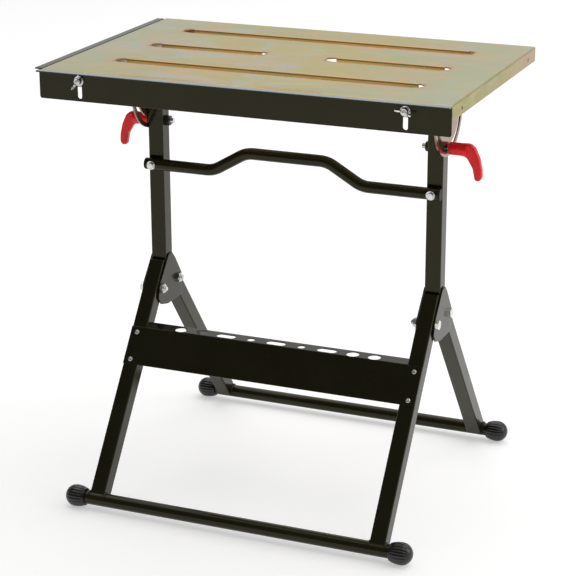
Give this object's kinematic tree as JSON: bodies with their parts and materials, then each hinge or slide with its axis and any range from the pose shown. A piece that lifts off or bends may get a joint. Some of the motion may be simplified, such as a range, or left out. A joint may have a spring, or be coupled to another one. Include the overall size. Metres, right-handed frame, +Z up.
{
  "type": "welding table",
  "caption": "Folding welding table with a slotted tilting top, retractable guide rails, clamp levers, a lifting handle and a tool tray.",
  "frame": {"origin": "on the floor, midway between the two columns in X and between the front and rear feet in Y", "axes": "+X along the long side of the top, +Y to the back, away from the front guide rail and tool tray, +Z up"},
  "size_m": [0.7829, 0.628, 0.819],
  "materials": {
    "black_powder_coat": "satin black powder coat with a fine orange-peel texture",
    "zinc_chromate": "zinc plate with a yellow-green and pink passivation tint, lightly scuffed",
    "bracket_zinc": "pale zinc plate with a warm tint",
    "bright_zinc": "bright zinc-plated fasteners",
    "black_oxide": "black-plated nuts",
    "red_grip": "glossy red coated casting",
    "black_rubber": "glossy moulded black rubber",
    "black_plug": "moulded black plastic"
  },
  "bodies": {
    "upright_frame": {"left_column": "black_powder_coat", "right_column": "black_powder_coat", "left_outer_hinge_plate": "black_powder_coat", "left_inner_hinge_plate": "black_powder_coat", "right_inner_hinge_plate": "black_powder_coat", "right_outer_hinge_plate": "black_powder_coat", "front_leg_pivot_bolts": "bright_zinc", "front_leg_pivot_nuts": "bright_zinc", "rear_leg_pivot_bolts": "bright_zinc", "rear_leg_pivot_nuts": "bright_zinc", "handle_bar": "black_powder_coat", "handle_end_plugs": "black_plug", "handle_bolts": "bright_zinc", "handle_washers": "bright_zinc", "handle_nuts": "bright_zinc", "tilt_pivot_bolts": "bright_zinc", "tilt_pivot_washers": "bright_zinc", "tilt_pivot_nuts": "bright_zinc", "clamp_nuts": "black_oxide", "clamp_nut_washers": "black_oxide"},
    "table_top": {"table_top_pan": "zinc_chromate", "left_tilt_bracket": "bracket_zinc", "right_tilt_bracket": "bracket_zinc", "front_rail_studs": "bright_zinc", "left_rail_studs": "bright_zinc", "front_rail_washers": "bright_zinc", "left_rail_washers": "bright_zinc"},
    "front_rail": {"front_guide_rail": "black_powder_coat"},
    "left_rail": {"left_guide_rail": "black_powder_coat"},
    "front_left_wing_nut": {"front_wing_nut_left": "bright_zinc"},
    "front_right_wing_nut": {"front_wing_nut_right": "bright_zinc"},
    "left_rear_wing_nut": {"left_wing_nut_rear": "bright_zinc"},
    "left_front_wing_nut": {"left_wing_nut_front": "bright_zinc"},
    "left_clamp_lever": {"left_lever_grip": "red_grip", "left_lever_stud": "bright_zinc", "left_lever_collar": "bright_zinc"},
    "right_clamp_lever": {"right_lever_grip": "red_grip", "right_lever_stud": "bright_zinc", "right_lever_collar": "bright_zinc"},
    "front_legs": {"left_front_leg": "black_powder_coat", "right_front_leg": "black_powder_coat", "left_front_foot": "black_rubber", "right_front_foot": "black_rubber", "front_crossbar": "black_powder_coat", "tool_tray": "black_powder_coat", "tray_screws": "bright_zinc"},
    "rear_legs": {"left_rear_leg": "black_powder_coat", "right_rear_leg": "black_powder_coat", "left_rear_foot": "black_rubber", "right_rear_foot": "black_rubber", "rear_crossbar": "black_powder_coat"}
  },
  "joints": [
    {"name": "top_tilt", "type": "hinge", "parent": "upright_frame", "child": "table_top", "pos_m": [0, 0.004, 0.742], "axis": [1, 0, 0], "range_deg": [-90, 90]},
    {"name": "front_rail_height", "type": "slide", "parent": "table_top", "child": "front_rail", "axis": [0, 0, 1], "range_m": [0, 0.027]},
    {"name": "left_rail_height", "type": "slide", "parent": "table_top", "child": "left_rail", "axis": [0, 0, 1], "range_m": [0, 0.027]},
    {"name": "front_left_wing_nut_turn", "type": "hinge", "parent": "table_top", "child": "front_left_wing_nut", "pos_m": [-0.302, -0.262, 0.8043], "axis": [0, -1, 0], "range_deg": [0, 450]},
    {"name": "front_right_wing_nut_turn", "type": "hinge", "parent": "table_top", "child": "front_right_wing_nut", "pos_m": [0.302, -0.262, 0.8043], "axis": [0, -1, 0], "range_deg": [0, 450]},
    {"name": "left_rear_wing_nut_turn", "type": "hinge", "parent": "table_top", "child": "left_rear_wing_nut", "pos_m": [-0.389, 0.2, 0.8043], "axis": [-1, 0, 0], "range_deg": [0, 450]},
    {"name": "left_front_wing_nut_turn", "type": "hinge", "parent": "table_top", "child": "left_front_wing_nut", "pos_m": [-0.389, -0.2, 0.8043], "axis": [-1, 0, 0], "range_deg": [0, 450]},
    {"name": "left_clamp_lever_turn", "type": "hinge", "parent": "upright_frame", "child": "left_clamp_lever", "pos_m": [-0.3, 0.004, 0.6775], "axis": [-1, 0, 0], "range_deg": [0, 180]},
    {"name": "right_clamp_lever_turn", "type": "hinge", "parent": "upright_frame", "child": "right_clamp_lever", "pos_m": [0.3, 0.004, 0.6775], "axis": [1, 0, 0], "range_deg": [0, 180]},
    {"name": "front_legs_fold", "type": "hinge", "parent": "upright_frame", "child": "front_legs", "pos_m": [0, -0.042, 0.358], "axis": [1, 0, 0], "range_deg": [0, 36]},
    {"name": "rear_legs_fold", "type": "hinge", "parent": "upright_frame", "child": "rear_legs", "pos_m": [0, 0.031, 0.358], "axis": [-1, 0, 0], "range_deg": [0, 37]}
  ]
}
